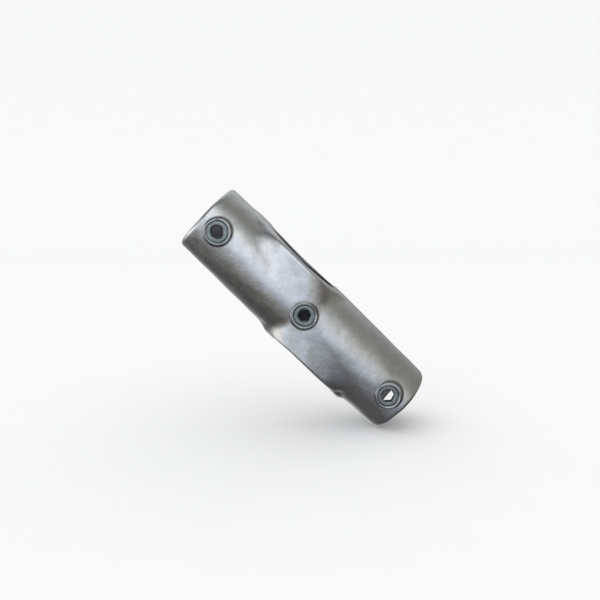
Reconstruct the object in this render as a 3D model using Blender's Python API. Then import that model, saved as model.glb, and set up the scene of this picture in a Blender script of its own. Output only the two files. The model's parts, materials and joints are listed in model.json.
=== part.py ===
"""A 45 degree cross coupler for 42.4 mm tube: one iron casting and its three set screws.

The casting is a long sleeve for the sloping tube and a short collar for the upright tube, crossing
at 45 degrees with their axes in one plane.  Each set screw is threaded through a round boss on the
front and bears on the tube behind it.  Lengths are in metres.

Frame: the origin is where the two tube axes cross, +Z runs up the upright, the sleeve runs from upper
left to lower right, and the set screws face -Y.
"""

from math import acos, cos, pi, radians, sin, sqrt, tan

import bmesh
import bpy
from mathutils import Matrix, Vector

MM = 0.001

# The two tubes and how they cross.
TUBE_RADIUS = 21.2 * MM
BORE_CLEARANCE = 0.5 * MM
CROSS_ANGLE = radians(45)

# The casting: thicker by a little at its middle than at the sleeve's ends.
SLEEVE_HALF_LENGTH = 96.7 * MM
OUTER_RADIUS = 27.7 * MM
END_RADIUS = 26.8 * MM
# The upper and the lower rim of the collar: how far each lies from the sleeve's axis at the parting
# plane, and how much it leans in for each unit away from that plane.
RIM_HEIGHTS = (28.2 * MM, 30.7 * MM)
RIM_DRAFTS = (0.11, 0.21)
BLEND_RADIUS = 8 * MM
RIM_ROUNDING = 4 * MM
BORE_OVERRUN = 12 * MM

# The bosses and their tapped holes (3/8 inch pipe thread, 19 to the inch).
BOSS_RADIUS = 9.8 * MM
BOSS_BASE_RADIUS = 11 * MM
BOSS_ROOT = 23.5 * MM
THREAD_MINOR_RADIUS = 7.475 * MM
THREAD_GAP = 0.3 * MM

# The set screws.
SCREW_LENGTH = 6 * MM
SCREW_CHAMFER = 0.6 * MM
HEX_ACROSS_FLATS = 8 * MM
HEX_CHAMFER = 0.5 * MM
POINT_LENGTH = 1.2 * MM
POINT_RADIUS = 6.4 * MM
POINT_EDGE_RADIUS = 5.6 * MM
POINT_BORE_RADIUS = 4.8 * MM
POINT_GAP = 0.3 * MM

# One row for each screw: its name, its place along the sleeve, the height of its boss face and of its
# tip above the tube axes, how far the boss sits off the screw's axis (to the right, up), and the angle
# at which the hexagon stands.
SCREWS = (
    ("upper", -82 * MM, 27.5 * MM, 21.3 * MM, (0.5 * MM, 0.1 * MM), 30),
    ("middle", 0 * MM, 28.1 * MM, 20.9 * MM, (-0.3 * MM, 0.2 * MM), 0),
    ("lower", 82 * MM, 27.7 * MM, 20.5 * MM, (0.5 * MM, 1.1 * MM), 0),
)

# How finely round things are divided.
SLICES = 36
ARC_STEPS = 6
ROUND_SEGMENTS = 48
MERGE = 0.01 * MM

SLEEVE_AXIS = Vector((sin(CROSS_ANGLE), 0, -cos(CROSS_ANGLE)))
ACROSS_AXIS = Vector((cos(CROSS_ANGLE), 0, sin(CROSS_ANGLE)))
# The upright's axis, and the direction square to it, as (along, across) pairs.
UPRIGHT = (-cos(CROSS_ANGLE), sin(CROSS_ANGLE))
SIDEWAYS = (sin(CROSS_ANGLE), cos(CROSS_ANGLE))


def clear_scene():
    for old in list(bpy.data.objects):
        bpy.data.objects.remove(old, do_unlink=True)


def metal(name, colour, roughness, metallic):
    made = bpy.data.materials.new(name)
    made.use_nodes = True
    shader = made.node_tree.nodes["Principled BSDF"]
    shader.inputs["Base Color"].default_value = (*colour, 1)
    shader.inputs["Roughness"].default_value = roughness
    shader.inputs["Metallic"].default_value = metallic
    made.diffuse_color = (*colour, 1)
    return made


def add_object(name, mesh, material=None):
    """Finish the bmesh as an object with smooth round faces and flat ends."""
    bmesh.ops.recalc_face_normals(mesh, faces=mesh.faces)
    data = bpy.data.meshes.new(name)
    mesh.to_mesh(data)
    mesh.free()
    data.shade_smooth()
    data.set_sharp_from_angle(angle=radians(30))
    made = bpy.data.objects.new(name, data)
    bpy.context.scene.collection.objects.link(made)
    if material:
        data.materials.append(material)
    return made


def as_cutter(made):
    made.hide_render = True
    made.display_type = "WIRE"
    return made


def combine(target, other, operation):
    step = target.modifiers.new(f"{operation.lower()} {other.name}", "BOOLEAN")
    step.operation = operation
    step.object = other
    step.solver = "EXACT"


def arc(centre, radius, turn, side, sense):
    """Points on an arc that starts straight above (sense 1) or below (-1) its centre and turns away to
    the right (side 1) or left (-1)."""
    angles = [turn * i / ARC_STEPS for i in range(ARC_STEPS + 1)]
    return [(centre[0] + side * radius * sin(a), centre[1] + sense * radius * cos(a)) for a in angles]


def collar_point(offset, across):
    """The point at this distance to the right of the upright's axis and across the sleeve's axis."""
    up = (across - offset * SIDEWAYS[1]) / UPRIGHT[1]
    return (offset * SIDEWAYS[0] + up * UPRIGHT[0], across)


def step_to_rim(width, limit, side, blend, rounding):
    """The curve from the sleeve's edge to the collar's rim, on the right (side 1) or left (-1).

    Both strips have this half width, and the rim is at the limit.  The rim's rounding comes first.  It
    may run straight into the sleeve, and otherwise a blend fills the corner that is left.
    """
    turn = CROSS_ANGLE if side > 0 else pi - CROSS_ANGLE
    drop = limit - width
    centre = collar_point(side * (width - rounding), limit - rounding)
    if rounding * (1 - cos(turn)) >= drop:
        rounded = arc(centre, rounding, acos(1 - drop / rounding), side, 1)
        return [rounded[-1]] * (ARC_STEPS + 1) + rounded[::-1]
    rounded = arc(centre, rounding, turn, side, 1)
    straight = (rounded[-1][1] - width) / sin(CROSS_ANGLE)
    radius = min(blend, straight / tan(turn / 2))
    centre = collar_point(side * (width + radius), width + radius)
    return arc(centre, radius, turn, -side, -1) + rounded[::-1]


def slice_outline(width, half_length, limits, blend, rounding):
    """Two strips of one half width crossing, as (along, across) pairs, at one distance from the plane
    of the axes.  The limits are those of the upper and the lower rim, and the lower half is made like
    the upper one and turned half a turn."""
    halves = []
    for limit in limits:
        right = step_to_rim(width, limit, 1, blend, rounding)
        left = step_to_rim(width, limit, -1, blend, rounding)
        halves.append([(half_length, width), *right, *left[::-1], (-half_length, width)])
    upper, lower = halves
    return upper + [(-along, -across) for along, across in lower]


def crossed_rods(radius, end_radius, half_length, heights, drafts=(0, 0), blend=0, rounding=0):
    """A closed mesh of a rod along the sleeve's axis crossed by a rod along the upright's axis, cut
    off by an upper and a lower rim along the sleeve.  It's built up from slices parallel to both axes,
    and the sleeve narrows to the end radius."""
    mesh = bmesh.new()
    rings = []
    for i in range(SLICES + 1):
        angle = pi * i / SLICES - pi / 2
        share = max(cos(angle), 0)
        depth = radius * sin(angle)
        limits = [height - draft * abs(depth) for height, draft in zip(heights, drafts)]
        ring = []
        sizes = (radius * share, half_length, limits, blend * share, rounding * share)
        for along, across in slice_outline(*sizes):
            taper = end_radius / radius if abs(along) == half_length else 1
            place = Vector((0, depth, 0)) + ACROSS_AXIS * across
            ring.append(mesh.verts.new(SLEEVE_AXIS * along + place * taper))
        rings.append(ring)
    count = len(rings[0])
    for near, far in zip(rings, rings[1:]):
        for i in range(count):
            j = (i + 1) % count
            mesh.faces.new((near[i], near[j], far[j], far[i]))
    bmesh.ops.remove_doubles(mesh, verts=mesh.verts, dist=MERGE)
    bmesh.ops.dissolve_degenerate(mesh, edges=mesh.edges, dist=MERGE)
    return mesh


def lathe(profile, segments=ROUND_SEGMENTS):
    """A closed solid turned about local Z from (radius, height) pairs.  A profile that starts and ends
    at radius 0 makes a solid, and any other is a closed loop that makes a ring."""
    mesh = bmesh.new()
    rings = []
    for radius, height in profile:
        if radius == 0:
            rings.append([mesh.verts.new((0, 0, height))] * segments)
            continue
        angles = [2 * pi * i / segments for i in range(segments)]
        rings.append([mesh.verts.new((radius * cos(a), radius * sin(a), height)) for a in angles])
    pairs = list(zip(rings, rings[1:]))
    if profile[0][0] > 0:
        pairs.append((rings[-1], rings[0]))
    for low, high in pairs:
        for i in range(segments):
            j = (i + 1) % segments
            corners = dict.fromkeys((low[i], low[j], high[j], high[i]))
            if len(corners) > 2:
                mesh.faces.new(tuple(corners))
    return mesh


def disc_stack(profile):
    """The profile as a solid with flat ends on its axis."""
    return lathe([(0, profile[0][1]), *profile, (0, profile[-1][1])])


def screw_axis(name, along):
    """An empty on a screw's axis, whose +Z points out of the casting, towards -Y."""
    made = bpy.data.objects.new(name, None)
    bpy.context.scene.collection.objects.link(made)
    made.matrix_world = Matrix.Translation(SLEEVE_AXIS * along) @ Matrix.Rotation(pi / 2, 4, "X")
    return made


def make_casting(axes, material):
    skin = crossed_rods(
        OUTER_RADIUS,
        END_RADIUS,
        SLEEVE_HALF_LENGTH,
        RIM_HEIGHTS,
        drafts=RIM_DRAFTS,
        blend=BLEND_RADIUS,
        rounding=RIM_ROUNDING,
    )
    casting = add_object("cross_fitting_casting", skin, material)
    for name, _, face, _, offset, _ in SCREWS:
        profile = [(BOSS_BASE_RADIUS, BOSS_ROOT), (BOSS_RADIUS, face)]
        boss = as_cutter(add_object(f"{name}_boss", disc_stack(profile)))
        boss.parent = axes[name]
        boss.location = (*offset, 0)
        combine(casting, boss, "UNION")
    bore = TUBE_RADIUS + BORE_CLEARANCE
    passage_heights = [height + BORE_OVERRUN for height in RIM_HEIGHTS]
    passages = crossed_rods(bore, bore, SLEEVE_HALF_LENGTH + BORE_OVERRUN, passage_heights)
    combine(casting, as_cutter(add_object("tube_passages", passages)), "DIFFERENCE")
    for name, _, face, _, _, _ in SCREWS:
        profile = [(THREAD_MINOR_RADIUS, TUBE_RADIUS / 2), (THREAD_MINOR_RADIUS, face + BORE_OVERRUN)]
        hole = as_cutter(add_object(f"{name}_tapped_hole", disc_stack(profile)))
        hole.parent = axes[name]
        combine(casting, hole, "DIFFERENCE")
    return casting


def hex_socket(name):
    """The hexagonal hole right through a screw, with a bevelled mouth."""
    corner = HEX_ACROSS_FLATS / sqrt(3)
    mouth = corner + HEX_CHAMFER
    profile = [
        (corner, -HEX_CHAMFER),
        (corner, SCREW_LENGTH - HEX_CHAMFER),
        (mouth, SCREW_LENGTH),
        (mouth, SCREW_LENGTH + HEX_CHAMFER),
    ]
    rings = [(0, profile[0][1]), *profile, (0, profile[-1][1])]
    return as_cutter(add_object(name, lathe(rings, 6)))


def make_screw(name, tip, hex_angle, axis, screw_metal, point_metal):
    """The threaded part of a screw, and the cup point on its inner end.  Their origins are at the
    screw's tip, on its axis."""
    radius = THREAD_MINOR_RADIUS - THREAD_GAP
    start = POINT_LENGTH + POINT_GAP
    profile = [
        (radius - SCREW_CHAMFER, start),
        (radius, start + SCREW_CHAMFER),
        (radius, SCREW_LENGTH - SCREW_CHAMFER),
        (radius - SCREW_CHAMFER, SCREW_LENGTH),
    ]
    screw = add_object(f"{name}_set_screw", disc_stack(profile), screw_metal)
    socket = hex_socket(f"{name}_hex_socket")
    socket.parent = screw
    socket.rotation_euler.z = radians(hex_angle)
    combine(screw, socket, "DIFFERENCE")
    edge = (POINT_EDGE_RADIUS + POINT_BORE_RADIUS) / 2
    ring = [
        (POINT_BORE_RADIUS, POINT_LENGTH),
        (POINT_BORE_RADIUS, POINT_LENGTH / 2),
        (edge, 0),
        (POINT_EDGE_RADIUS, 0),
        (POINT_RADIUS, POINT_LENGTH / 2),
        (POINT_RADIUS, POINT_LENGTH),
    ]
    point = add_object(f"{name}_cup_point", lathe(ring), point_metal)
    for piece in (screw, point):
        piece.parent = axis
        piece.location = (0, 0, tip)


def main():
    clear_scene()
    cast_zinc = metal("hot_dip_galvanised_iron", (0.6, 0.6, 0.58), 0.42, 0.85)
    screw_zinc = metal("zinc_plated_screw_steel", (0.42, 0.45, 0.45), 0.4, 0.9)
    point_steel = metal("case_hardened_point_steel", (0.28, 0.28, 0.29), 0.45, 0.9)
    axes = {name: screw_axis(f"{name}_screw_axis", along) for name, along, *_ in SCREWS}
    make_casting(axes, cast_zinc)
    for name, _, _, tip, _, hex_angle in SCREWS:
        make_screw(name, tip, hex_angle, axes[name], screw_zinc, point_steel)


main()
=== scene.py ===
"""Looks of the 45 degree cross coupler: a hot dip galvanised casting and its three set screws.

The casting is one smooth distance field, meshed and pulled onto its own surface, so that the sleeve,
the collar, the bosses and every fillet run into each other as they do in a real casting.  The screws
and the tapped holes carry their real 3/8 inch, 19 per inch thread.
"""

import json
from math import cos, pi, radians, sin, sqrt

import bmesh
import bpy
import numpy as np
from mathutils import Matrix, Vector


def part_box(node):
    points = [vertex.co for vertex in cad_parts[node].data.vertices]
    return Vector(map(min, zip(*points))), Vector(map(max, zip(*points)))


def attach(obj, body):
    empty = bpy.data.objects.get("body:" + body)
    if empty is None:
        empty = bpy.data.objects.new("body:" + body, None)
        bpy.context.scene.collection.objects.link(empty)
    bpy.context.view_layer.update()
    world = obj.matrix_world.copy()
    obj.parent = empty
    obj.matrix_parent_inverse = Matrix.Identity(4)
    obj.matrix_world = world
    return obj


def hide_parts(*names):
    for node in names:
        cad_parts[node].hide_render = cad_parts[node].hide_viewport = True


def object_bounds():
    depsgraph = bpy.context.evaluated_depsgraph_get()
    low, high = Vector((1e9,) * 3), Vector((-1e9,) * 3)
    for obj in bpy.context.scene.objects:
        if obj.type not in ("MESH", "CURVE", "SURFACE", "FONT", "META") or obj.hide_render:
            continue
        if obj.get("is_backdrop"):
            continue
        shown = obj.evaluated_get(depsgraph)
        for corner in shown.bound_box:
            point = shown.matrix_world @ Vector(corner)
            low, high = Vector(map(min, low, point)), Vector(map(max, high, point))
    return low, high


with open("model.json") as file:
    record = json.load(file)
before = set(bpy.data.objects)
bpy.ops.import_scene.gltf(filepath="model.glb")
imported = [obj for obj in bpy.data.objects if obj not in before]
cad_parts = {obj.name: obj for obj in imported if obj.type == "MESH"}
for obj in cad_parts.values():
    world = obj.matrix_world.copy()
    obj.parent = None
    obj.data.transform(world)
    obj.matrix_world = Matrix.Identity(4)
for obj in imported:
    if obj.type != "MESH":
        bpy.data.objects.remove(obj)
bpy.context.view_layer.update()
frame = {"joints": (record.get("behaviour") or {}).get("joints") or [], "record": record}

MM = 0.001

# The sine and the cosine of the 45 degrees between the two tubes.
HALF = sqrt(0.5)

RECORD = frame["record"]
MOUNTS = {mount["name"]: mount for mount in RECORD["mounts"]}
JOINTS = {joint["name"]: joint for joint in frame["joints"]}

# The frame of the casting: along the sleeve, across it, and away from the viewer.
ALONG = np.array(MOUNTS["lower_sleeve_mouth"]["axis"])
ACROSS = np.array([HALF, 0, HALF])
DEEP = np.array([0, 1, 0])

# Lengths are in millimetres from here on, except where they say metres.

# The sleeve and the two bores: half length, radii, where the sleeve starts to taper, and roundings.
HALF_LENGTH = round(float(np.dot(MOUNTS["lower_sleeve_mouth"]["pos_m"], ALONG)) / MM, 3)
BORE = 21.7
SKIN = 27.7
END_SKIN = 26.8
TAPER_START = 30
END_ROUNDING = 2.4
MOUTH_ROUNDING = 1.1

# The upper and the lower rim of the collar: the distance from the sleeve's axis at the parting plane,
# and the lean for each unit away from that plane.  Then the rounding of a rim where its edge is blunt,
# and where it is sharp.
RIMS = (27.9, 30.7)
RIM_DRAFTS = (0.11, 0.21)
RIM_ROUNDINGS = (1.6, 3.4)

# The fillets between sleeve and collar.  The two sharp corners have one radius above and one below, and
# the lower one fades over a length.  The front has its own, and in the blunt corners the radius goes by
# the depth.  FLAT_FROM and FLAT_TO are cosines of the angle between the two surfaces: below the first a
# corner is sharp, and above the second it is flat.
SHARP_BLENDS = (8, 7)
BLEND_FADE = 20
FRONT_BLEND = 20
BLUNT_DEPTHS = (0, 4, 14, 20, 26)
BLUNT_BLENDS = (28, 25, 11, 12, 20)
FLAT_FROM = -0.3
FLAT_TO = 0.5

# The bosses: radii at the face and at the root, the root's height, the roundings of the edge and the
# foot, and how deep the boss's own metal reaches.  Then the plain hole that each threaded ring is let
# into.  The ring overlaps its wall, stands a hair proud of the face and stops short of the bore.
BOSS_TOP = 9.2
BOSS_FOOT = 10.2
BOSS_ROOT = 23.5
BOSS_EDGE = 0.8
BOSS_FILLET = 0.9
BOSS_INNER = 12
HOLE = 8.4
HOLE_INNER = 14
RING_WALL = 0.25
RING_PROUD = 0.03
RING_SHORT = 0.08

# The painted ring of shade round a boss: the middle, the half width and the fade of the dark ring, and
# how far the threaded ring in its hole is darkened with painted shade.
RING_RADIUS = 9.3
RING_FLAT = 0.6
RING_FADE = 1.0
HOLE_SHADE = 0.6

# The faint ridge where the mould's halves met.
PARTING_RIDGE = 0.14
PARTING_WIDTH = 1.3

GRID_LOW = (-99.3, -33, -31)
GRID_HIGH = (99.6, 33.2, 30.6)
GRID_STEPS = (1.6, 0.95)
FINE_REACH = 13.5
FINE_BEHIND = -18

# The screws and their thread.  THREAD_ROOT and THREAD_FLANK are shares of half a pitch: the root is
# flat over the first, and the flank rises over the second.  SCREW_TO_POINT closes the gap that the CAD
# leaves between a screw and its point.
PITCH = 25.4 / 19
MINOR = 7.475
THREAD_DEPTH = 0.856
THREAD_PLAY = 0.1
THREAD_ROOT = 0.14
THREAD_FLANK = 0.72
BEVEL = 0.45
SCREW_TO_POINT = 0.22
HOLE_ROWS = 64
SCREW_ROWS = 44
HEX_HALF = 4.0
HEX_MOUTH = 5.0
POINT_TEETH = 30

# The bosses sit off their holes by this much (to the right, up), and each hexagon stopped at its own
# angle when the screw was last tightened.
BOSS_OFFSETS = {"upper": (0.5, 0.1), "middle": (-0.3, 0.2), "lower": (0.5, 1.1)}
HEX_TURNS = {"upper": 30, "middle": 0, "lower": 0}
SCREWS = tuple(BOSS_OFFSETS)


def screw_place(name):
    """(along, height of the boss face) of a screw, in millimetres."""
    where = np.array(JOINTS[f"{name}_screw_turn"]["pos_m"]) / MM
    face = -MOUNTS[f"{name}_boss_face"]["pos_m"][1] / MM
    return float(where @ ALONG), face


PLACES = {name: screw_place(name) for name in SCREWS}


# ---------------------------------------------------------------- the casting as a distance field


def smooth_min(a, b, k):
    """The smaller of two fields, with the corner between them filled over the width k."""
    k = np.maximum(k, 1e-3)
    h = np.maximum(k - np.abs(a - b), 0) / k
    return np.minimum(a, b) - h * h * h * k / 6


def smooth_max(a, b, k):
    return -smooth_min(-a, -b, k)


def rounding_width(radius, cosine):
    """The width for smooth_min that gives this radius between two surfaces whose normals differ by
    the angle with this cosine."""
    return 6 * radius * (1 - np.sqrt(np.clip((1 + cosine) / 2, 0, 1)))


SQUARE = float(rounding_width(1, 0))


def fillet(a, b, radius, cosine):
    """The union of two fields with a round fillet in the corner, where their normals differ by the
    angle with this cosine."""
    near, far = a - radius, b - radius
    sine2 = 1 - cosine * cosine
    inside = (near <= far * cosine) & (far <= near * cosine)
    off = np.sqrt(np.maximum(near * near + far * far - 2 * near * far * cosine, 0) / sine2)
    return np.where(inside, radius - off, np.minimum(a, b))


def casting_waves():
    """A few long plane waves, the unevenness that the sand mould and the thick zinc leave."""
    chance = np.random.default_rng(42)
    waves = []
    for wavelength in np.geomspace(7.5, 34, 16):
        direction = chance.normal(size=3)
        direction *= 2 * pi / wavelength / np.linalg.norm(direction)
        waves.append((direction, chance.uniform(0, 2 * pi), 0.0017 * wavelength))
    return waves


WAVES = casting_waves()


def skin_field(s, c, y):
    """The outside of the sleeve and the collar, before the bosses."""
    x = (s + c) * HALF
    off_sleeve = np.hypot(c, y) + 1e-6
    off_upright = np.hypot(x, y) + 1e-6
    taper = np.clip((np.abs(s) - TAPER_START) / (HALF_LENGTH - TAPER_START), 0, 1)
    sleeve = off_sleeve - SKIN + (SKIN - END_SKIN) * taper
    height = np.where(c > 0, RIMS[0], RIMS[1])
    draft = np.where(c > 0, RIM_DRAFTS[0], RIM_DRAFTS[1])
    lean = np.sqrt(1 + draft * draft)
    rim = (np.abs(c) + draft * np.abs(y) - height) / lean
    # The fillet is wide where the two meet at a flat angle, and narrow in their sharp corners, where
    # the lower one dies out towards its rim.
    turn = np.clip((c * x * HALF + y * y) / (off_sleeve * off_upright), -0.95, 0.995)
    flat = np.clip((turn - FLAT_FROM) / (FLAT_TO - FLAT_FROM), 0, 1)
    fading = SHARP_BLENDS[1] * np.clip((height + c) / BLEND_FADE, 0.05, 1)
    sharp = np.where(c > 0, SHARP_BLENDS[0], fading)
    blunt = np.interp(np.abs(y), BLUNT_DEPTHS, BLUNT_BLENDS)
    wide = np.where(c * x > 0, blunt, FRONT_BLEND)
    radius = sharp + (wide - sharp) * flat * flat * (3 - 2 * flat)
    both = fillet(sleeve, off_upright - SKIN, radius, turn)
    # The rim cuts off the collar and its fillet, but not the sleeve.
    turn = (x * HALF * np.sign(c) + draft * np.abs(y)) / (off_upright * lean)
    rounding = RIM_ROUNDINGS[0] + (RIM_ROUNDINGS[1] - RIM_ROUNDINGS[0]) * np.clip(-turn / HALF, 0, 1)
    both = smooth_max(both, rim, rounding_width(rounding, turn))
    both = np.minimum(both, sleeve)
    both = smooth_max(both, np.abs(s) - HALF_LENGTH, END_ROUNDING * SQUARE)
    for direction, phase, height in WAVES:
        both = both + height * np.sin(direction[0] * s + direction[1] * c + direction[2] * y + phase)
    return both - PARTING_RIDGE * np.exp(-((y / PARTING_WIDTH) ** 2))


def boss_distance(name, s, c):
    """How far a point is from a boss's own axis."""
    right, up = BOSS_OFFSETS[name]
    return np.hypot(s - PLACES[name][0] - (right - up) * HALF, c - (right + up) * HALF)


def boss_field(name, s, c, y):
    """A boss by itself: a low cone with a rounded edge round its face."""
    face = PLACES[name][1]
    off = boss_distance(name, s, c)
    slope = (BOSS_FOOT - BOSS_TOP) / (face - BOSS_ROOT)
    side = (off - BOSS_TOP - slope * (face + y)) / sqrt(1 + slope**2)
    top = smooth_max(side, -y - face, BOSS_EDGE * SQUARE)
    return np.maximum(top, BOSS_INNER + y)


def casting_field(s, c, y):
    """Negative inside the casting's metal.  The arguments are along, across and away, in mm."""
    solid = skin_field(s, c, y)
    for name in SCREWS:
        solid = smooth_min(solid, boss_field(name, s, c, y), BOSS_FILLET * SQUARE)
    x = (s + c) * HALF
    off_sleeve = np.hypot(c, y) + 1e-6
    off_upright = np.hypot(x, y) + 1e-6
    turn = (c * x * HALF + y * y) / (off_sleeve * off_upright)
    bores = smooth_min(off_sleeve, off_upright, rounding_width(MOUTH_ROUNDING, turn)) - BORE
    solid = smooth_max(solid, -bores, MOUTH_ROUNDING * SQUARE)
    for name in SCREWS:
        hole = np.maximum(np.hypot(s - PLACES[name][0], c) - HOLE, HOLE_INNER + y)
        solid = np.maximum(solid, -hole)
    return solid


def field_at(points):
    """The casting's field at rows of (along, across, away)."""
    return casting_field(points[:, 0], points[:, 1], points[:, 2])


def field_slope(points, step=0.03):
    """The field's gradient by central differences."""
    slope = np.empty_like(points)
    for axis in range(3):
        shift = np.zeros(3)
        shift[axis] = step
        slope[:, axis] = (field_at(points + shift) - field_at(points - shift)) / (2 * step)
    return slope


def onto_surface(points, rounds):
    """The points moved straight onto the surface."""
    for _ in range(rounds):
        slope = field_slope(points)
        size = np.maximum((slope * slope).sum(1), 0.05)
        move = slope * (field_at(points) / size)[:, None]
        length = np.linalg.norm(move, axis=1, keepdims=True)
        points = points - move * np.minimum(1, 0.4 / np.maximum(length, 1e-9))
    return points


def surface_net(low, high, step):
    """(points, quads) of the casting's surface: one point in each grid cell that it crosses, and one
    quad round each grid edge that it crosses."""
    ticks = [np.arange(a, b + step, step) for a, b in zip(low, high)]
    value = casting_field(*np.meshgrid(*ticks, indexing="ij"))
    cells = tuple(n - 1 for n in value.shape)
    total = np.zeros((3, np.prod(cells)))
    count = np.zeros(np.prod(cells))
    quads = []
    for axis in range(3):
        size = value.shape[axis]
        first = np.take(value, range(size - 1), axis)
        second = np.take(value, range(1, size), axis)
        crossed = (first < 0) != (second < 0)
        index = np.argwhere(crossed)
        point = index.astype(float)
        point[:, axis] += (first / (first - second + 1e-12))[crossed]
        corners = []
        for back_u, back_v in ((0, 0), (1, 0), (1, 1), (0, 1)):
            cell = index.copy()
            cell[:, (axis + 1) % 3] -= back_u
            cell[:, (axis + 2) % 3] -= back_v
            flat = np.ravel_multi_index(cell.T, cells)
            count += np.bincount(flat, minlength=len(count))
            for k in range(3):
                total[k] += np.bincount(flat, point[:, k], len(count))
            corners.append(flat)
        quad = np.stack(corners, 1)
        outward = first[crossed] < 0
        quad[outward] = quad[outward][:, ::-1]
        quads.append(quad)
    quads = np.concatenate(quads)
    used, quads = np.unique(quads, return_inverse=True)
    points = (total[:, used] / count[used]).T * step + np.array(low)
    return points, quads.reshape(-1, 4)


def relaxed(points, edges, rounds, free=None):
    """The points slid along the surface towards the middle of their neighbours."""
    for _ in range(rounds):
        total = np.zeros_like(points)
        for near, far in (edges, edges[::-1]):
            for k in range(3):
                total[:, k] += np.bincount(near, points[far, k], len(points))
        count = np.bincount(np.concatenate(edges), minlength=len(points))
        pull = total / np.maximum(count, 1)[:, None] - points
        slope = field_slope(points)
        slope /= np.maximum(np.linalg.norm(slope, axis=1, keepdims=True), 1e-9)
        pull -= slope * (pull * slope).sum(1, keepdims=True)
        if free is not None:
            pull *= free[:, None]
        points = onto_surface(points + 0.5 * pull, 1)
    return points


def turned(vectors):
    """(x, y, z) vectors from (along, across, away) ones."""
    return vectors[:, :1] * ALONG + vectors[:, 1:2] * ACROSS + vectors[:, 2:] * DEEP


def to_world(points):
    """Metres in the shared frame from (along, across, away) in millimetres."""
    return turned(points) * MM


def edge_arrays(mesh):
    """The first and the second vertex of every edge."""
    ends = np.empty(len(mesh.edges) * 2, np.int64)
    mesh.edges.foreach_get("vertices", ends)
    return ends[0::2], ends[1::2]


def near_screws(points):
    """Which points are close to a screw, on the front."""
    near = np.zeros(len(points), bool)
    for name in SCREWS:
        near |= np.hypot(points[:, 0] - PLACES[name][0], points[:, 1]) < FINE_REACH
    return near & (points[:, 2] < FINE_BEHIND)


def set_points(mesh, points):
    mesh.vertices.foreach_set("co", points.astype(np.float32).ravel())
    mesh.update()


def get_points(mesh):
    flat = np.empty(len(mesh.vertices) * 3, np.float32)
    mesh.vertices.foreach_get("co", flat)
    return flat.reshape(-1, 3).astype(float)


def add_attribute(mesh, name, values):
    """Stores one value for each vertex, for the material to read."""
    made = mesh.attributes.new(name, "FLOAT", "POINT")
    made.data.foreach_set("value", np.asarray(values, np.float32))


def boss_shade_ring(points):
    """1 on the shoulder and the side of each boss, where the material paints a ring of shade, and 0
    elsewhere.
    """
    ring = np.zeros(len(points))
    for name in SCREWS:
        off = boss_distance(name, points[:, 0], points[:, 1])
        band = 1 - np.maximum(np.abs(off - RING_RADIUS) - RING_FLAT, 0) / RING_FADE
        ring = np.maximum(ring, np.where(points[:, 2] < -BOSS_ROOT, np.clip(band, 0, 1), 0))
    return ring


def casting_mesh():
    """The casting without its threads, with the attributes that its material reads."""
    points, quads = surface_net(GRID_LOW, GRID_HIGH, GRID_STEPS[1])
    mesh = bpy.data.meshes.new("cross_coupler_body")
    mesh.from_pydata(points.tolist(), [], quads.tolist())
    points = onto_surface(points, 3)
    points = relaxed(points, edge_arrays(mesh), 4)
    set_points(mesh, points)
    # The bosses have the smallest rounding, so the faces around them are divided by three.
    work = bmesh.new()
    work.from_mesh(mesh)
    work.verts.ensure_lookup_table()
    near = near_screws(points)
    edges = [edge for edge in work.edges if near[edge.verts[0].index] and near[edge.verts[1].index]]
    bmesh.ops.subdivide_edges(work, edges=edges, cuts=2, use_grid_fill=True)
    work.to_mesh(mesh)
    work.free()
    points = onto_surface(get_points(mesh), 4)
    points = relaxed(points, edge_arrays(mesh), 3, near_screws(points).astype(float))
    points = onto_surface(points, 3)
    normals = field_slope(points)
    normals /= np.linalg.norm(normals, axis=1, keepdims=True)
    # How sharply the surface turns, over the width of a small edge and of a wide fillet.
    bends = []
    for reach in (0.6, 2.0):
        sides = (sign * axis for axis in np.eye(3) for sign in (1, -1))
        around = sum(field_at(points + reach * side) for side in sides)
        bends.append((around - 6 * field_at(points)) / reach**2)
    along, across, away = points.T
    bore = np.minimum(np.hypot(across, away), np.hypot((along + across) * HALF, away))
    # Where the material paints a ring of shade round each boss.
    ring = boss_shade_ring(points)
    set_points(mesh, to_world(points))
    add_attribute(mesh, "edge", np.clip((bends[0] - 0.1) / 0.6, 0, 1))
    add_attribute(mesh, "hollow", np.clip(-bends[1] / 0.25, 0, 1))
    add_attribute(mesh, "bore", np.clip((BORE + 0.5 - bore) / 0.4, 0, 1))
    add_attribute(mesh, "ring", ring)
    mesh.shade_smooth()
    mesh.normals_split_custom_set_from_vertices(turned(normals).tolist())
    return mesh


# ---------------------------------------------------------------- threads, screws and cup points


def loop_mesh(name, rows, sharp):
    """A mesh from rows of points (row, segment, xyz), closed both ways round, with edges sharp over
    this many degrees."""
    count, segments, _ = rows.shape
    index = np.arange(count * segments).reshape(count, segments)
    near, far = index, np.roll(index, -1, 0)
    quads = np.stack([near, np.roll(near, -1, 1), np.roll(far, -1, 1), far], -1).reshape(-1, 4)
    mesh = bpy.data.meshes.new(name)
    mesh.from_pydata(rows.reshape(-1, 3).tolist(), [], quads.tolist())
    work = bmesh.new()
    work.from_mesh(mesh)
    bmesh.ops.recalc_face_normals(work, faces=work.faces)
    work.to_mesh(mesh)
    work.free()
    mesh.shade_smooth()
    mesh.set_sharp_from_angle(angle=radians(sharp))
    return mesh


def screw_points(name, radius, angle, height):
    """World points from a radius, an angle seen from in front, and a height above the tube axes."""
    centre = to_world(np.array([[PLACES[name][0], 0, 0]]))[0]
    radius, angle, height = np.broadcast_arrays(radius, angle, height)
    across = radius * np.cos(angle)
    up = radius * np.sin(angle)
    return centre + np.stack([across, -height, up], -1) * MM


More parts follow.
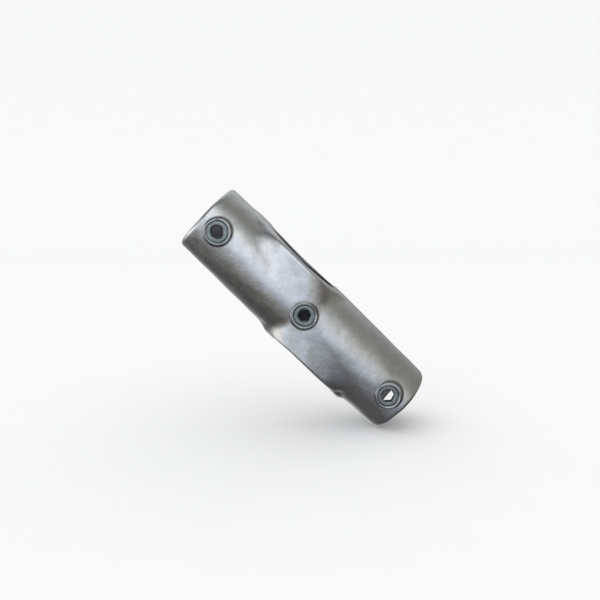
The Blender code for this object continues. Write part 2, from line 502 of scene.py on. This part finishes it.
def thread_rise(angle, height):
    """How far the thread stands above its minor radius, with the rounded flanks of a pipe thread."""
    turn = (height / PITCH - angle / (2 * pi)) % 1
    flank = np.clip((np.abs(2 * turn - 1) - THREAD_ROOT) / THREAD_FLANK, 0, 1)
    return THREAD_DEPTH * flank * flank * (3 - 2 * flank)


SEGMENTS = 120
ANGLES = np.arange(SEGMENTS) * 2 * pi / SEGMENTS


def mesh_round_screw(name, kind, rows, sharp):
    """A closed mesh from rows of (radius, height) round a screw's axis.  Each is one number, or one
    for each angle."""
    points = np.stack([screw_points(name, radius, ANGLES, height) for radius, height in rows])
    return loop_mesh(f"{name}_{kind}", points, sharp)


def tapped_hole(name):
    """The wall of a tapped hole: a threaded ring let into the boss, whose thread runs out through the
    face."""
    top = PLACES[name][1] + RING_PROUD
    outer = HOLE + RING_WALL
    sleeve_side = HALF * (np.cos(ANGLES) + np.sin(ANGLES))
    upright_side = np.cos(ANGLES)

    def floor_at(radius):
        """The height of the bores' wall under this circle, a little outside it."""
        over_sleeve = BORE**2 - (radius * sleeve_side) ** 2
        over_upright = BORE**2 - (radius * upright_side) ** 2
        floor = np.sqrt(over_sleeve)
        if name == "middle":
            floor = np.maximum(floor, np.sqrt(over_upright))
        return floor + RING_SHORT

    rows = [
        (outer, floor_at(outer)),
        (outer, top - 0.12),
        (outer - 0.12, top),
        (outer - 0.2, top),
    ]
    low = floor_at(MINOR)
    for i in range(HOLE_ROWS + 1):
        height = top - (top - low) * i / HOLE_ROWS
        cone = MINOR + BEVEL - (top - height)
        rows.append((np.maximum(MINOR + thread_rise(ANGLES, height), cone), height))
    mesh = mesh_round_screw(name, "tapped_hole", rows, 60)
    # Painted shade: the threaded ring is darkened, as shade in its hole.
    add_attribute(mesh, "ring", np.full(len(mesh.vertices), HOLE_SHADE))
    return mesh


def hexagon(turn):
    """The distance from the axis to the wall of the socket, at each angle."""
    return HEX_HALF / np.cos((ANGLES - radians(turn)) % (pi / 3) - pi / 6)


def set_screw(name):
    """The threaded part, bevelled at both ends, with its hexagon socket right through it."""
    low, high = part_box(f"{name}_set_screw")
    top, bottom = -low.y / MM, -high.y / MM - SCREW_TO_POINT
    face = MINOR - BEVEL
    tip = MINOR - 2 * BEVEL
    socket = hexagon(HEX_TURNS[name])
    rows = [
        (HEX_MOUTH, top - 0.02),
        (HEX_MOUTH + 0.06, top),
        ((HEX_MOUTH + face) / 2, top),
        (face - 0.08, top),
        (face, top - 0.03),
    ]
    for i in range(SCREW_ROWS + 1):
        height = top - 0.05 - (top - bottom - 0.1) * i / SCREW_ROWS
        cone = np.minimum(face + 0.05 + (top - height) * 0.9, tip + 0.05 + (height - bottom) * 1.2)
        crest = MINOR - THREAD_PLAY + thread_rise(ANGLES, height)
        rows.append((np.minimum(crest, cone), height))
    lip = (HEX_MOUTH - socket) / 1.5
    rows += [
        (tip, bottom),
        (HEX_MOUTH + 0.2, bottom),
        (socket, bottom + 0.3),
        (socket, (bottom + top) / 2),
        (socket, top - lip - 0.04),
        (socket + 0.03, top - lip),
    ]
    return mesh_round_screw(name, "screw_thread", rows, 38)


def cup_point(name):
    """The ring that bites into the tube: a cupped end with a knurled edge."""
    low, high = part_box(f"{name}_cup_point")
    top, bottom = -low.y / MM, -high.y / MM
    teeth = 0.5 + 0.5 * np.cos(ANGLES * POINT_TEETH)
    rows = [
        (4.8, top),
        (4.8, bottom + 0.75),
        (5.05, bottom + 0.3),
        (5.3, bottom + 0.05 + 0.12 * teeth),
        (5.5, bottom + 0.2 * teeth),
        (5.75, bottom + 0.1 + 0.3 * teeth),
        (6.25 - 0.1 * teeth, bottom + 0.62 + 0.12 * teeth),
        (6.35, bottom + 0.9),
        (6.35, top - 0.08),
        (6.27, top),
    ]
    return mesh_round_screw(name, "screw_point", rows, 38)


# ---------------------------------------------------------------- materials


def new_material(name):
    made = bpy.data.materials.new(name)
    made.use_nodes = True
    tree = made.node_tree
    shader = tree.nodes["Principled BSDF"]
    return made, tree, shader


def put(tree, value, socket):
    """Links a socket to an input, or sets the input to a number or an (r, g, b) colour."""
    if isinstance(value, bpy.types.NodeSocket):
        tree.links.new(value, socket)
    elif isinstance(value, (int, float)):
        socket.default_value = value
    else:
        socket.default_value = (*value, 1)


def object_place(tree):
    return tree.nodes.new("ShaderNodeTexCoord").outputs["Object"]


def math_node(tree, operation, a, b=0.0, clamp=False):
    """One operation on two sockets or numbers, with its result held between 0 and 1 if clamped."""
    made = tree.nodes.new("ShaderNodeMath")
    made.operation = operation
    made.use_clamp = clamp
    put(tree, a, made.inputs[0])
    put(tree, b, made.inputs[1])
    return made.outputs[0]


def ramp(tree, value, low, high, to_low=0.0, to_high=1.0):
    """The value carried from the range low..high to the range to_low..to_high, and held at its ends."""
    made = tree.nodes.new("ShaderNodeMapRange")
    made.clamp = True
    for socket, number in zip(made.inputs, (value, low, high, to_low, to_high)):
        put(tree, number, socket)
    return made.outputs[0]


def mix_colour(tree, share, a, b):
    """Colour a where the share is 0, and colour b where it is 1."""
    made = tree.nodes.new("ShaderNodeMix")
    made.data_type = "RGBA"
    for index, value in ((0, share), (6, a), (7, b)):
        put(tree, value, made.inputs[index])
    return made.outputs[2]


def noise(tree, place, size, detail=2.0, roughness=0.5, distortion=0.0):
    """Noise whose features are about this many millimetres across."""
    made = tree.nodes.new("ShaderNodeTexNoise")
    settings = {
        "Vector": place, "Scale": 1 / (size * MM), "Detail": detail, "Roughness": roughness,
        "Distortion": distortion,
    }
    for label, value in settings.items():
        put(tree, value, made.inputs[label])
    return made.outputs["Fac"]


def attribute(tree, name):
    """What casting_mesh and tapped_hole stored on the mesh under this name."""
    made = tree.nodes.new("ShaderNodeAttribute")
    made.attribute_name = name
    return made.outputs["Fac"]


def bump(tree, height, distance, strength, before=None):
    """A normal bent by a height of this many millimetres, on top of the bump before it."""
    made = tree.nodes.new("ShaderNodeBump")
    made.inputs["Strength"].default_value = strength
    made.inputs["Distance"].default_value = distance * MM
    tree.links.new(height, made.inputs["Height"])
    if before is not None:
        tree.links.new(before, made.inputs["Normal"])
    return made.outputs["Normal"]


# The roughness of the zinc, from its smoother to its duller patches.
SATIN = (0.18, 0.28)

# The zinc's crystals, and how far their edges wander.
CRYSTAL_SIZE = 5.5
CRYSTAL_WANDER = 3


def galvanised():
    """Hot dip zinc: soft grey crystals, duller clouds, dark specks, worn edges, dirt and painted shade
    in the hollows, painted shade round the bosses and in the bores, and a lumpy, finely grained skin."""
    made, tree, shader = new_material("galvanised_casting")
    place = object_place(tree)
    edge, hollow, bore, ring = (attribute(tree, name) for name in ("edge", "hollow", "bore", "ring"))

    shifted = tree.nodes.new("ShaderNodeVectorMath")
    shifted.operation = "MULTIPLY_ADD"
    tree.links.new(noise(tree, place, 3.0, 3), shifted.inputs[0])
    shifted.inputs[1].default_value = (CRYSTAL_WANDER * MM,) * 3
    tree.links.new(place, shifted.inputs[2])
    cells = tree.nodes.new("ShaderNodeTexVoronoi")
    tree.links.new(shifted.outputs[0], cells.inputs["Vector"])
    cells.inputs["Scale"].default_value = 1 / (CRYSTAL_SIZE * MM)
    crystal = tree.nodes.new("ShaderNodeSeparateColor")
    tree.links.new(cells.outputs["Color"], crystal.inputs[0])

    blotch = noise(tree, place, 16, 3, 0.55, 0.4)
    cloud = noise(tree, place, 4.5, 4, 0.6)
    grain = noise(tree, place, 0.55, 3, 0.6)
    speck = ramp(tree, noise(tree, place, 0.9, 2, 0.7), 0.63, 0.74)

    colour = mix_colour(tree, ramp(tree, blotch, 0.3, 0.7), (0.60, 0.605, 0.60), (0.72, 0.72, 0.715))
    tone = ramp(tree, crystal.outputs[0], 0, 1, 0.0, 0.22)
    colour = mix_colour(tree, tone, colour, (0.80, 0.81, 0.83))
    colour = mix_colour(tree, ramp(tree, cloud, 0.42, 0.75, 0, 0.35), colour, (0.50, 0.505, 0.50))
    colour = mix_colour(tree, math_node(tree, "MULTIPLY", speck, 0.15), colour, (0.36, 0.355, 0.34))
    worn = math_node(tree, "MULTIPLY", edge, ramp(tree, cloud, 0.35, 0.6), True)
    colour = mix_colour(tree, math_node(tree, "MULTIPLY", worn, 0.6), colour, (0.82, 0.82, 0.81))
    # Dirt and painted shade: darker in the hollows and fillets, where dirt gathers and shade falls.
    dirt_and_shade = math_node(tree, "MULTIPLY", hollow, ramp(tree, grain, 0.2, 0.7, 0.35, 0.9), True)
    colour = mix_colour(tree, math_node(tree, "MULTIPLY", dirt_and_shade, 0.3), colour, (0.25, 0.245, 0.225))
    # Painted shade: a dark ring round the side of each boss and on the threaded ring in its hole,
    # broken by the clouds.
    ring_shade = math_node(tree, "MULTIPLY", ring, ramp(tree, cloud, 0.3, 0.6, 0.6, 0.95), True)
    colour = mix_colour(tree, ring_shade, colour, (0.24, 0.245, 0.24))
    # Painted shade: the bores darkened nearly to black.
    colour = mix_colour(tree, math_node(tree, "MULTIPLY", bore, 0.85), colour, (0.15, 0.15, 0.15))
    tree.links.new(colour, shader.inputs["Base Color"])

    rough = ramp(tree, cloud, 0.3, 0.7, *SATIN)
    rough = math_node(tree, "ADD", rough, ramp(tree, crystal.outputs[1], 0, 1, -0.03, 0.05))
    rough = math_node(tree, "ADD", rough, math_node(tree, "MULTIPLY", dirt_and_shade, 0.15))
    rough = math_node(tree, "ADD", rough, math_node(tree, "MULTIPLY", bore, 0.2), True)
    tree.links.new(rough, shader.inputs["Roughness"])
    shader.inputs["Metallic"].default_value = 1.0

    normal = bump(tree, noise(tree, place, 6.5, 2, 0.45), 0.30, 0.55)
    normal = bump(tree, noise(tree, place, 2.4, 2, 0.5), 0.12, 0.5, normal)
    normal = bump(tree, grain, 0.02, 0.4, normal)
    tree.links.new(normal, shader.inputs["Normal"])
    return made


def screw_material():
    """Zinc plated steel gone dull and a little green, with darker stains and a fine grain."""
    made, tree, shader = new_material("screw_zinc")
    place = object_place(tree)
    cloud = noise(tree, place, 2.2, 4, 0.6)
    grain = noise(tree, place, 0.35, 3, 0.6)
    colour = mix_colour(tree, ramp(tree, cloud, 0.35, 0.65), (0.23, 0.262, 0.257), (0.36, 0.395, 0.39))
    stain = ramp(tree, noise(tree, place, 1.1, 3, 0.7), 0.55, 0.75, 0, 0.6)
    colour = mix_colour(tree, stain, colour, (0.13, 0.15, 0.145))
    tree.links.new(colour, shader.inputs["Base Color"])
    tree.links.new(ramp(tree, grain, 0.3, 0.7, 0.36, 0.5), shader.inputs["Roughness"])
    shader.inputs["Metallic"].default_value = 1.0
    tree.links.new(bump(tree, grain, 0.02, 0.6), shader.inputs["Normal"])
    return made


def point_material():
    """Case hardened steel, nearly black."""
    made, tree, shader = new_material("point_steel")
    place = object_place(tree)
    cloud = noise(tree, place, 1.6, 4, 0.6)
    colour = mix_colour(tree, ramp(tree, cloud, 0.35, 0.65), (0.10, 0.10, 0.105), (0.20, 0.195, 0.19))
    tree.links.new(colour, shader.inputs["Base Color"])
    tree.links.new(ramp(tree, cloud, 0.3, 0.7, 0.38, 0.55), shader.inputs["Roughness"])
    shader.inputs["Metallic"].default_value = 1.0
    tree.links.new(bump(tree, noise(tree, place, 0.3, 3, 0.6), 0.02, 0.6), shader.inputs["Normal"])
    return made


# ---------------------------------------------------------------- pieces


def add_piece(name, mesh, material, body, replaced):
    """A visible piece that rides on a body and takes the place of a CAD node."""
    made = bpy.data.objects.new(name, mesh)
    bpy.context.scene.collection.objects.link(made)
    mesh.materials.append(material)
    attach(made, body)
    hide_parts(replaced)
    return made


def join_meshes(first, others):
    """The meshes as one, each with its own normals."""
    corner_normals = [tuple(corner.vector) for corner in first.corner_normals]
    work = bmesh.new()
    work.from_mesh(first)
    for other in others:
        work.from_mesh(other)
    work.to_mesh(first)
    work.free()
    for other in others:
        corner_normals += [tuple(corner.vector) for corner in other.corner_normals]
    first.normals_split_custom_set(corner_normals)
    return first


def build_pieces():
    """The casting with its tapped holes, and each screw with its cup point."""
    zinc, screw_metal, point_metal = galvanised(), screw_material(), point_material()
    body = join_meshes(casting_mesh(), [tapped_hole(name) for name in SCREWS])
    add_piece(
        "cross_coupler_body", body, zinc, "casting", "cross_fitting_casting"
    )
    for name in SCREWS:
        add_piece(
            f"{name}_screw_thread", set_screw(name), screw_metal, f"{name}_screw",
            f"{name}_set_screw",
        )
        add_piece(
            f"{name}_screw_point", cup_point(name), point_metal, f"{name}_travel",
            f"{name}_cup_point",
        )


# ---------------------------------------------------------------- studio


# Soft lights all round, as the metal mirrors them: (to the right of the viewer, above the horizon,
# half width, red, green, blue), with the angles in degrees.  The colours are not a design: another
# program fitted them to the shading in the photograph.
GLOWS = (
    (-120, 60, 24, 0.30, 0.32, 0.34),
    (120, 60, 24, 0.22, 0.22, 0.22),
    (180, 60, 24, 0.36, 0.37, 0.39),
    (0, 30, 20, 1.02, 1.04, 1.08),
    (36, 30, 20, 0.32, 0.34, 0.33),
    (72, 30, 20, 0.17, 0.17, 0.13),
    (108, 30, 20, 0.08, 0.09, 0.09),
    (144, 30, 20, 0.25, 0.26, 0.26),
    (180, 30, 20, 0.44, 0.44, 0.46),
    (-120, 0, 18, 0.36, 0.39, 0.41),
    (-90, 0, 18, 1.51, 1.45, 1.33),
    (-60, 0, 18, 0.77, 0.85, 1.00),
    (-30, 0, 18, 0.59, 0.64, 0.69),
    (0, 0, 18, 0.54, 0.61, 0.73),
    (30, 0, 18, 0.39, 0.38, 0.37),
    (60, 0, 18, 0.05, 0.04, 0.04),
    (90, 0, 18, 0.21, 0.21, 0.19),
    (120, 0, 18, 0.14, 0.12, 0.09),
    (150, 0, 18, 0.18, 0.18, 0.18),
    (-144, -30, 20, 0.04, 0.04, 0.03),
    (-36, -30, 20, 0.08, 0.06, 0.02),
    (0, -30, 20, 0.12, 0.13, 0.14),
    (180, -30, 20, 0.79, 0.81, 0.83),
    (-120, -60, 24, 0.04, 0.04, 0.04),
    (-60, -60, 24, 0.06, 0.06, 0.05),
    (0, -60, 24, 0.01, 0.02, 0.07),
    (60, -60, 24, 0.07, 0.06, 0.01),
)
AMBIENT = (0.01, 0.01, 0.012)
FLOOR_LIGHT = (1.07, 1.07, 1.07)
BACKDROP = (0.96, 0.965, 0.97)

# The natural logarithm of 2, which makes a glow half as bright at its half width.
HALF_FALL = 0.6931

# The floor, in metres: where it ends in front, where it starts to curve up behind, the curve's radius,
# the backdrop's height, half the width, and the number of steps in the curve.
FLOOR_FRONT = -2.2
FLOOR_BEHIND = 1.6
FLOOR_CURVE = 0.9
FLOOR_TALL = 2.4
FLOOR_WIDE = 3.0
FLOOR_STEPS = 16

# The camera, fitted to the edges of the tubes in the photograph.
CAMERA_PLACE = (-0.0049, -0.4427, 0.0732)
CAMERA_RIGHT = (0.9999, -0.0066, -0.0126)
CAMERA_FORWARD = (0.0047, 0.9890, -0.1478)
CAMERA_LENS = 36.96
CAMERA_SENSOR = 36


def glow_direction(right, up):
    """Towards a glow, from its two angles."""
    right, up = radians(right), radians(up)
    return (sin(right) * cos(up), -cos(right) * cos(up), sin(up))


def studio_world():
    """What the metal mirrors is a ring of soft glows.  The floor is lit evenly, and the camera sees a
    plain pale backdrop."""
    world = bpy.data.worlds.new("studio")
    bpy.context.scene.world = world
    world.use_nodes = True
    world.cycles.sampling_method = "NONE"
    tree = world.node_tree
    tree.nodes.clear()
    ray = tree.nodes.new("ShaderNodeNewGeometry").outputs["Incoming"]
    total = None
    for right, up, width, *colour in GLOWS:
        towards = tree.nodes.new("ShaderNodeVectorMath")
        towards.operation = "DOT_PRODUCT"
        tree.links.new(ray, towards.inputs[0])
        towards.inputs[1].default_value = [-v for v in glow_direction(right, up)]
        sharpness = HALF_FALL / (1 - cos(radians(width)))
        fall = math_node(tree, "SUBTRACT", towards.outputs["Value"], 1.0)
        fall = math_node(tree, "EXPONENT", math_node(tree, "MULTIPLY", fall, sharpness))
        tint = tree.nodes.new("ShaderNodeVectorMath")
        tint.operation = "MULTIPLY_ADD"
        tree.links.new(fall, tint.inputs[0])
        tint.inputs[1].default_value = colour
        tint.inputs[2].default_value = AMBIENT
        if total is not None:
            tree.links.new(total, tint.inputs[2])
        total = tint.outputs[0]
    path = tree.nodes.new("ShaderNodeLightPath")
    shown = mix_colour(tree, path.outputs["Is Camera Ray"], FLOOR_LIGHT, BACKDROP)
    shown = mix_colour(tree, path.outputs["Is Glossy Ray"], shown, total)
    back = tree.nodes.new("ShaderNodeBackground")
    tree.links.new(shown, back.inputs["Color"])
    out = tree.nodes.new("ShaderNodeOutputWorld")
    tree.links.new(back.outputs[0], out.inputs["Surface"])


def floor():
    """A plain pale floor that curves up into a backdrop far behind."""
    low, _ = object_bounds()
    mesh = bmesh.new()
    outline = [(FLOOR_FRONT, 0.0), (FLOOR_BEHIND, 0.0)]
    for i in range(1, FLOOR_STEPS + 1):
        angle = pi / 2 * i / FLOOR_STEPS
        outline.append((FLOOR_BEHIND + FLOOR_CURVE * sin(angle), FLOOR_CURVE * (1 - cos(angle))))
    outline.append((FLOOR_BEHIND + FLOOR_CURVE, FLOOR_TALL))
    rows = [
        [mesh.verts.new((x, y, low.z + z)) for x in (-FLOOR_WIDE, FLOOR_WIDE)] for y, z in outline
    ]
    for near, far in zip(rows, rows[1:]):
        mesh.faces.new((near[0], near[1], far[1], far[0]))
    data = bpy.data.meshes.new("studio_floor")
    mesh.to_mesh(data)
    mesh.free()
    data.shade_smooth()
    made = bpy.data.objects.new("studio_floor", data)
    bpy.context.scene.collection.objects.link(made)
    made.visible_glossy = False
    paint, tree, shader = new_material("studio_floor")
    place = object_place(tree)
    tone = mix_colour(tree, noise(tree, place, 40, 2), (0.90, 0.905, 0.91), (0.915, 0.92, 0.925))
    tree.links.new(tone, shader.inputs["Base Color"])
    shader.inputs["Roughness"].default_value = 0.9
    shader.inputs["Specular IOR Level"].default_value = 0.0
    data.materials.append(paint)
    made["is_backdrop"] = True


def camera():
    """The camera, at the photograph's viewing angle."""
    data = bpy.data.cameras.new("camera")
    data.sensor_width = CAMERA_SENSOR
    data.lens = CAMERA_LENS
    made = bpy.data.objects.new("camera", data)
    bpy.context.scene.collection.objects.link(made)
    right = Vector(CAMERA_RIGHT)
    forward = Vector(CAMERA_FORWARD).normalized()
    right = (right - forward * right.dot(forward)).normalized()
    turn = Matrix((right, right.cross(forward), -forward)).transposed().to_4x4()
    made.matrix_world = Matrix.Translation(CAMERA_PLACE) @ turn
    bpy.context.scene.camera = made


build_pieces()
floor()
studio_world()
camera()
bpy.context.scene.view_settings.view_transform = "Standard"
